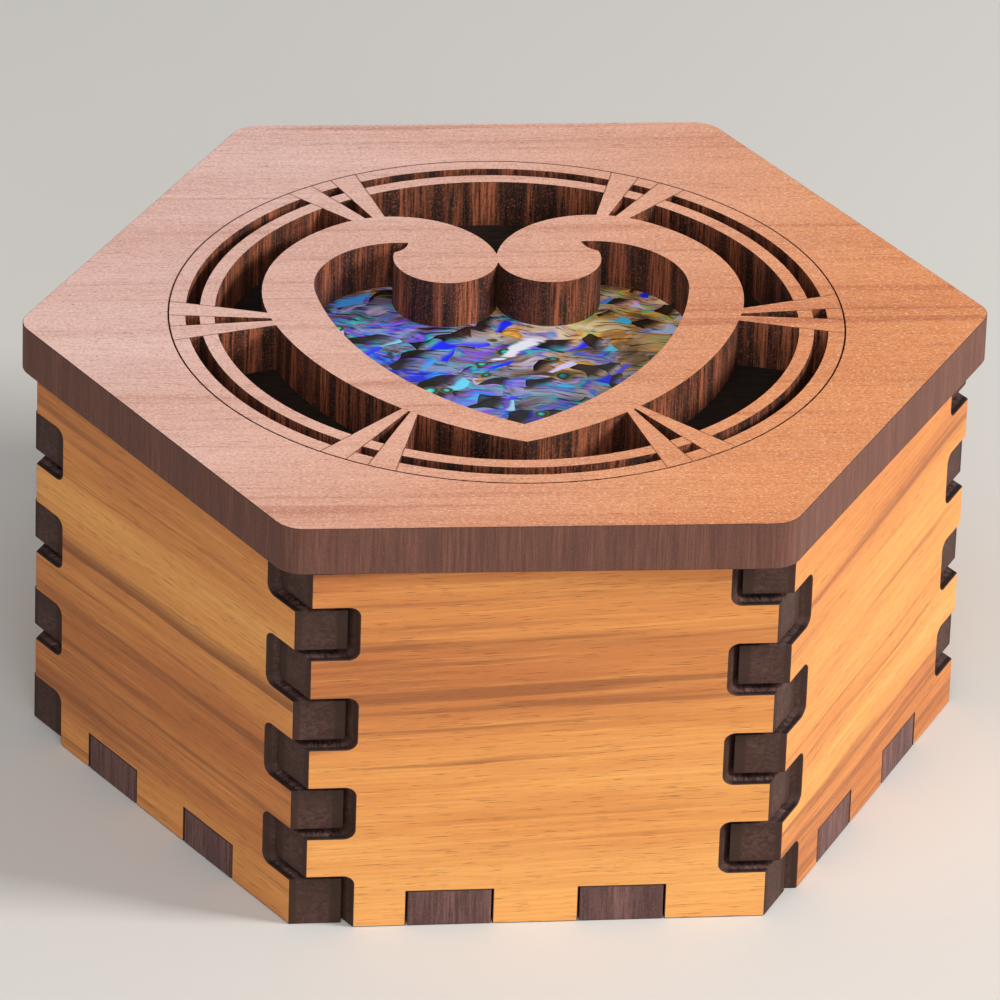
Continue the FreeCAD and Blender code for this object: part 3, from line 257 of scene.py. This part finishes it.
def lid_wood(name, edge_pale, edge_dark, soot_and_shade_share, scored):
    """Fine-grained lid, with painted light across its top: pinker at its left for a painted sheen, warmer at
    its right.
    """
    finish = Finish(name, turn=-LID_TURN, Specular_IOR_Level=0.4)
    tones = (paint(232, 195, 187), paint(220, 180, 171), paint(204, 156, 142), paint(176, 120, 102))
    colour, height = long_grain(finish, tones, seed=61.0, wander=0.8)
    x, y, _ = finish.parts(finish.place)
    # Painted light: a slope from the painted sheen at the left to warmer wood at the right.
    warm = finish.span(finish.sum("MULTIPLY_ADD", y, -0.45, x), -50, 55)
    colour = finish.blend(warm, colour, finish.blend(1.0, colour, paint(255, 200, 130), "MULTIPLY"))
    fleck = finish.noise((2.4, 6.0, 1.0), 4, 0.7)
    colour = finish.blend(finish.span(fleck, 0.52, 0.68, 0.0, 0.75), colour, paint(250, 214, 190))
    colour = finish.blend(finish.span(fleck, 0.48, 0.32, 0.0, 0.75), colour, paint(166, 102, 76))
    radius = finish.sum("SQRT", finish.sum("MULTIPLY_ADD", x, x, finish.sum("MULTIPLY", y, y)))
    if scored:
        colour = finish.blend(scored_lines(finish, x, y, radius), colour, paint(132, 82, 52))
    edge = burnt_edge(finish, (3.2, 3.2, 0.12), edge_pale, edge_dark, soot_and_shade_share)
    off_kerf = finish.sum("ABSOLUTE", finish.sum("SUBTRACT", radius, KERF_RADIUS))
    rim_share = finish.span(off_kerf, 0.3, 0.6, 0.1, 0.75)
    sheet_wood(finish, (colour, height), edge, 2, paint(56, 31, 24), rim_share)
    return finish.material


def scored_lines(finish, x, y, radius):
    """Fine lines that carry each pair of bars across the two rings."""
    angle = finish.sum("ARCTAN2", y, x)
    sector = math.radians(60)
    folded = finish.sum("WRAP", angle, sector / 2, -sector / 2)
    along = finish.sum("MULTIPLY", radius, finish.sum("COSINE", folded))
    aside = finish.sum("ABSOLUTE", finish.sum("MULTIPLY", radius, finish.sum("SINE", folded)))
    gone = finish.sum("SUBTRACT", along, BAR_START)
    nearest = None
    for start, end in BAR_EDGES:
        bar_edge = finish.sum("MULTIPLY_ADD", gone, (end - start) / BAR_LENGTH, start)
        off = finish.sum("ABSOLUTE", finish.sum("SUBTRACT", aside, bar_edge))
        nearest = off if nearest is None else finish.sum("MINIMUM", nearest, off)
    line = finish.span(nearest, 0.13, 0.05, 0.0, 0.9)
    return finish.sum("MULTIPLY", line, finish.span(radius, RINGS_START, RINGS_START + 0.3))


def shell():
    """Iridescent shell: smoky fields lit with blue, green and gold, folds in painted shade and bright painted
    glints.
    """
    finish = Finish("shell", turn=-LID_TURN, Roughness=0.25, Specular_IOR_Level=0.2, Coat_Weight=0.3,
                    Coat_Roughness=0.03)
    flat = finish.mapped(finish.place, (1, 1, 0))
    swirl = finish.noise((0.09, 0.09, 0.0), 2, 0.5, source=flat, colour=True)
    drift = finish.vector("SUBTRACT", swirl, (0.5, 0.5, 0.5))
    warped = finish.vector("ADD", flat, finish.vector("MULTIPLY", drift, (12.0, 8.0, 0.0)))
    x, y, _ = finish.parts(flat)

    # Smoky ground, browner towards the right.
    smoke = finish.noise((0.09, 0.2, 0.0), 4, 0.6, (6, 1, 0), warped)
    rightward = finish.span(finish.sum("MULTIPLY_ADD", y, 0.5, x), -8, 20)
    cool = finish.ramp(
        smoke, (0.36, paint(28, 20, 22)), (0.47, paint(116, 94, 104)), (0.6, paint(146, 164, 196)))
    warm = finish.ramp(
        smoke, (0.32, paint(58, 40, 26)), (0.45, paint(176, 140, 84)), (0.6, paint(240, 218, 170)))
    colour = finish.blend(rightward, cool, warm)

    # Lit fields: blue at the left and the tip, gold, green and pink towards the right.
    field = finish.noise((0.1, 0.17, 0.0), 3, 0.55, (3, 8, 0), warped)
    lean = finish.sum("MULTIPLY_ADD", x, 0.011, finish.sum("MULTIPLY_ADD", y, 0.013, -0.06))
    hue = finish.sum("ADD", finish.sum("MULTIPLY_ADD", field, 1.9, -0.45), lean)
    lit = finish.ramp(
        hue, (0.08, paint(40, 60, 220)), (0.2, paint(30, 150, 240)), (0.28, paint(156, 92, 226)),
        (0.36, paint(66, 112, 200)), (0.45, paint(60, 190, 186)), (0.53, paint(150, 130, 200)),
        (0.6, paint(196, 190, 210)), (0.67, paint(190, 140, 60)), (0.75, paint(240, 180, 80)),
        (0.82, paint(110, 200, 130)), (0.89, paint(232, 150, 190)), (0.97, paint(250, 220, 180)))
    sheen = finish.noise((0.2, 0.42, 0.0), 3, 0.6, (9, 4, 0), warped)
    colour = finish.blend(finish.span(sheen, 0.44, 0.56, 0.1, 1.0), colour, lit)

    # Fine growth lines.
    growth = finish.noise((0.28, 2.4, 0.0), 3, 0.6, (2, 5, 0), finish.mapped(warped, (1, 1, 0), turn=14))
    colour = finish.blend(finish.span(growth, 0.56, 0.68, 0.0, 0.3), colour, paint(206, 200, 240))
    colour = finish.blend(finish.span(growth, 0.47, 0.34, 0.0, 0.9), colour, paint(18, 14, 14))

    # Overlapping folds: painted shade and a dark crease line at one side of a patch, and a painted glint in
    # the shell's own blues at the other.
    folds = finish.mapped(warped, (0.2, 0.34, 0.0), turn=-18)
    patch = finish.cells(folds)
    pick, tone, _ = finish.parts(patch["Color"])
    inside = finish.vector("SUBTRACT", folds, patch["Position"])
    slope = finish.sum("ADD", finish.vector("DOT_PRODUCT", inside, (0.8, -0.9, 0.0)), 0.5)
    crease = finish.cells(folds, "DISTANCE_TO_EDGE")["Distance"]
    folded = finish.span(pick, 0.5, 0.56)
    # Painted shade on the low side of each folded patch.
    shade = finish.sum("MULTIPLY", finish.span(slope, 0.6, 0.15, 0.0, 0.95), folded)
    colour = finish.blend(shade, colour, paint(34, 22, 16))
    # Painted highlight: the glint on the high side, in the shell's iridescent blues.
    painted_glint = finish.sum("MULTIPLY", finish.span(slope, 0.64, 0.92), finish.span(pick, 0.56, 0.6))
    painted_glint_colour = finish.ramp(
        tone, (0.2, paint(36, 60, 255)), (0.5, paint(110, 110, 255)), (0.75, paint(60, 214, 250)),
        (0.95, paint(220, 210, 255)))
    colour = finish.blend(painted_glint, colour, painted_glint_colour)
    creased = finish.sum("MULTIPLY", finish.span(slope, 0.5, 0.36), folded)
    line = finish.sum("MULTIPLY", finish.span(crease, 0.08, 0.02, 0.0, 0.9), creased)
    colour = finish.blend(line, colour, paint(12, 10, 12))

    # Small bright eyes ringed with olive, and one milky streak near the middle.
    eyes = finish.cells(finish.mapped(warped, (0.2, 0.3, 0.0), shift=(5, 3, 0)))
    rare = finish.span(finish.parts(eyes["Color"])[1], 0.72, 0.74)
    eye = finish.sum("MULTIPLY", finish.span(eyes["Distance"], 0.3, 0.24), rare)
    colour = finish.blend(eye, colour, finish.ramp(
        eyes["Distance"], (0.02, paint(140, 250, 220)), (0.13, paint(30, 170, 170)),
        (0.18, paint(24, 40, 50)), (0.26, paint(130, 120, 50))))
    streak = finish.mapped(finish.mapped(warped, (1, 1, 0), shift=(-1.7, -4.0, 0)), (1, 1, 0), turn=-38)
    from_streak = finish.vector("LENGTH", finish.mapped(streak, (0.16, 0.6, 0.0)), (0, 0, 0))
    bright = finish.sum("MULTIPLY_ADD", growth, 1.1, from_streak)
    colour = finish.blend(finish.span(bright, 1.3, 1.0, 0.0, 0.95), colour, paint(232, 234, 250))
    finish.colour(finish.blend(0.35, colour, colour, "OVERLAY"))
    finish.relief(finish.sum("MULTIPLY_ADD", growth, 0.4, slope), 0.1)
    return finish.material


def dark_board():
    finish = Finish("dark_backing", turn=-LID_TURN, Roughness=0.9, Specular_IOR_Level=0.15)
    fibre = finish.noise((0.5, 2.6, 2.6), 5, 0.6)
    finish.colour(finish.ramp(fibre, (0.3, paint(14, 9, 7)), (0.75, paint(42, 28, 21))))
    finish.relief(fibre, 0.05)
    return finish.material


def cast_zinc():
    finish = Finish("cast_zinc", Metallic=0.85)
    grain = finish.noise((1.6, 1.6, 1.6), 5, 0.6)
    stain = finish.noise((0.08, 0.08, 0.08), 3, 0.5)
    colour = finish.ramp(grain, (0.3, paint(118, 120, 122)), (0.7, paint(160, 161, 160)))
    finish.colour(finish.blend(finish.span(stain, 0.45, 0.7, 0.0, 0.4), colour, paint(108, 104, 98)))
    finish.rough(finish.span(stain, 0.3, 0.7, 0.42, 0.6))
    finish.relief(grain, 0.05)
    return finish.material


def turned_metal(name, pale, dark, along):
    """Turned or drawn metal, with fine tool lines and a little tarnish."""
    finish = Finish(name, Metallic=1.0)
    lines = finish.noise(along, 3, 0.6)
    tarnish = finish.noise((0.25, 0.25, 0.25), 4, 0.55)
    finish.colour(finish.ramp(tarnish, (0.32, dark), (0.6, pale)))
    finish.rough(finish.span(lines, 0.25, 0.75, 0.2, 0.4))
    finish.relief(lines, 0.015)
    return finish.material


def corner_marks():
    """Node group that marks the shallow edges beside the bevels in the wall slots."""
    group = bpy.data.node_groups.new("slot_corner_marks", "GeometryNodeTree")
    for direction in ("INPUT", "OUTPUT"):
        group.interface.new_socket("Geometry", in_out=direction, socket_type="NodeSocketGeometry")
    came, went = group.nodes.new("NodeGroupInput"), group.nodes.new("NodeGroupOutput")
    angle = group.nodes.new("GeometryNodeInputMeshEdgeAngle")
    shallow = group.nodes.new("FunctionNodeCompare")
    shallow.operation = "EQUAL"
    shallow.inputs["B"].default_value = math.radians(45)
    shallow.inputs["Epsilon"].default_value = math.radians(4)
    store = group.nodes.new("GeometryNodeStoreNamedAttribute")
    store.data_type = "FLOAT"
    store.domain = "EDGE"
    store.inputs["Name"].default_value = "bevel_weight_edge"
    group.links.new(came.outputs[0], store.inputs["Geometry"])
    group.links.new(angle.outputs["Unsigned Angle"], shallow.inputs["A"])
    group.links.new(shallow.outputs[0], store.inputs["Value"])
    group.links.new(store.outputs[0], went.inputs[0])
    return group


def bevel(node, name, width, segments, method):
    edge = node.modifiers.new(name, "BEVEL")
    edge.width = width
    edge.segments = segments
    edge.limit_method = method
    edge.angle_limit = math.radians(40)
    edge.use_clamp_overlap = True


def clean_edges(node, width, marks=None):
    """Merge a node's facets, then break its sharp edges so that they catch the light."""
    node.modifiers.new("merged", "WELD").merge_threshold = 0.00001
    flat = node.modifiers.new("flat_faces", "DECIMATE")
    flat.decimate_type = "DISSOLVE"
    flat.angle_limit = math.radians(0.5)
    if marks:
        node.modifiers.new("slot_corners", "NODES").node_group = marks
        bevel(node, "round_slots", SLOT_ROUNDING, 4, "WEIGHT")
    bevel(node, "broken_edges", width, 2, "ANGLE")
    shade = node.modifiers.new("even_shading", "WEIGHTED_NORMAL")
    shade.keep_sharp = False


def dress(node_name, material):
    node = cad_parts[node_name]
    node.data.materials.clear()
    node.data.materials.append(material)


def dress_everything():
    marks = corner_marks()
    for index, name in enumerate(WALLS):
        dress(name, wall_wood(index, name))
        clean_edges(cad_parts[name], WALL_EDGE, marks)
    dress("floor_panel", floor_wood())
    outer_edge = (paint(122, 77, 62), paint(90, 54, 43), 0.6)
    # Fretwork edges: burnt char, with painted shade in the near-black tone and the heavy soot share on the
    # deep walls of the heart and rings.
    fret_char_and_shade = (paint(182, 102, 68), paint(22, 10, 7), 0.9)
    dress("lid_plate", lid_wood("lid_wood", *outer_edge, scored=False))
    dress("fretwork_insert", lid_wood("fretwork_wood", *fret_char_and_shade, scored=True))
    for name in ("lid_plate", "fretwork_insert"):
        clean_edges(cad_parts[name], LID_EDGE)
    clean_edges(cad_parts["floor_panel"], FLOOR_EDGE)
    dress("shell_inlay", shell())
    dress("backing_plate", dark_board())
    finishes = {
        "zinc": cast_zinc(),
        "brass": turned_metal("brass", paint(214, 176, 96), paint(176, 134, 62), (0.2, 6.0, 6.0)),
        "steel": turned_metal("steel", paint(196, 197, 200), paint(150, 150, 154), (0.3, 5.0, 5.0)),
    }
    for slot_name, nodes in slot_nodes().items():
        for name in nodes:
            dress(name, finishes[slot_name])


def slot_nodes():
    """Names of the metal nodes, by the material slot that the record gives them."""
    zinc = ["bedplate", "comb_base"]
    brass = ["lid_hub", "spring_housing", "drive_wheel", "cylinder", "cylinder_pinion", "cylinder_gear",
             "idler_pinion", "worm_wheel", "air_brake", "governor_frame", "cylinder_bracket", "train_bracket"]
    wood_and_shell = WALLS + ["floor_panel", "lid_plate", "fretwork_insert", "shell_inlay", "backing_plate"]
    steel = [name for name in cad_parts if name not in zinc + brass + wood_and_shell]
    return {"zinc": zinc, "brass": brass, "steel": steel}


def floor():
    mesh = bmesh.new()
    bmesh.ops.create_grid(mesh, x_segments=1, y_segments=1, size=4.0)
    data = bpy.data.meshes.new("studio_floor")
    mesh.to_mesh(data)
    mesh.free()
    thing = bpy.data.objects.new("studio_floor", data)
    bpy.context.scene.collection.objects.link(thing)
    finish = Finish("studio_floor", Roughness=0.9, Specular_IOR_Level=0.1)
    cloud = finish.noise((0.004, 0.004, 0.004))
    finish.colour(finish.ramp(cloud, (0.3, paint(206, 204, 200)), (0.7, paint(211, 209, 206))))
    data.materials.append(finish.material)


def lamp(name, place, size, watts, colour=(1, 1, 1)):
    """Soft area lamp aimed at the middle of the box."""
    data = bpy.data.lights.new(name, "AREA")
    data.energy = watts
    data.size = size
    data.color = colour
    thing = bpy.data.objects.new(name, data)
    thing.location = place
    aim = Vector(place) - Vector((0, 0, 0.03))
    thing.rotation_euler = aim.to_track_quat("Z", "Y").to_euler()
    bpy.context.scene.collection.objects.link(thing)


def studio_light():
    lamp("key", (0.95, -0.30, 0.55), 0.30, 13.0, (1.0, 0.97, 0.93))
    lamp("fill", (-0.10, -1.00, 0.35), 0.60, 2.6, (1.0, 0.98, 0.96))
    lamp("overhead", (-0.10, -0.45, 0.85), 0.60, 3.0)
    world = bpy.data.worlds.new("studio")
    bpy.context.scene.world = world
    world.use_nodes = True
    sky = world.node_tree.nodes["Background"]
    sky.inputs["Color"].default_value = (1, 1, 1, 1)
    sky.inputs["Strength"].default_value = 0.30


def camera():
    """Long lens from the front, a little left of the box's own front and turned slightly clockwise."""
    around, above, roll = math.radians(-6.66), math.radians(29.434), math.radians(1.96)
    back = Vector((math.sin(around) * math.cos(above), -math.cos(around) * math.cos(above), math.sin(above)))
    level = Vector((math.cos(around), math.sin(around), 0))
    rise = back.cross(level)
    right = level * math.cos(roll) + rise * math.sin(roll)
    up = rise * math.cos(roll) - level * math.sin(roll)
    eye = bpy.data.objects.new("camera", bpy.data.cameras.new("camera"))
    eye.data.sensor_width = 36
    eye.data.lens = 330.39
    eye.data.clip_end = 100
    turned = Matrix((right, up, back)).transposed().to_4x4()
    distance, left, down = 18.775 * LID_SIDE, 0.0143 * LID_SIDE, 0.3743 * LID_SIDE
    turned.translation = Vector((0, 0, LID_TOP)) + back * distance - right * left - up * down
    eye.matrix_world = turned
    bpy.context.scene.collection.objects.link(eye)
    bpy.context.scene.camera = eye


dress_everything()
floor()
studio_light()
camera()
bpy.context.scene.view_settings.view_transform = "Standard"
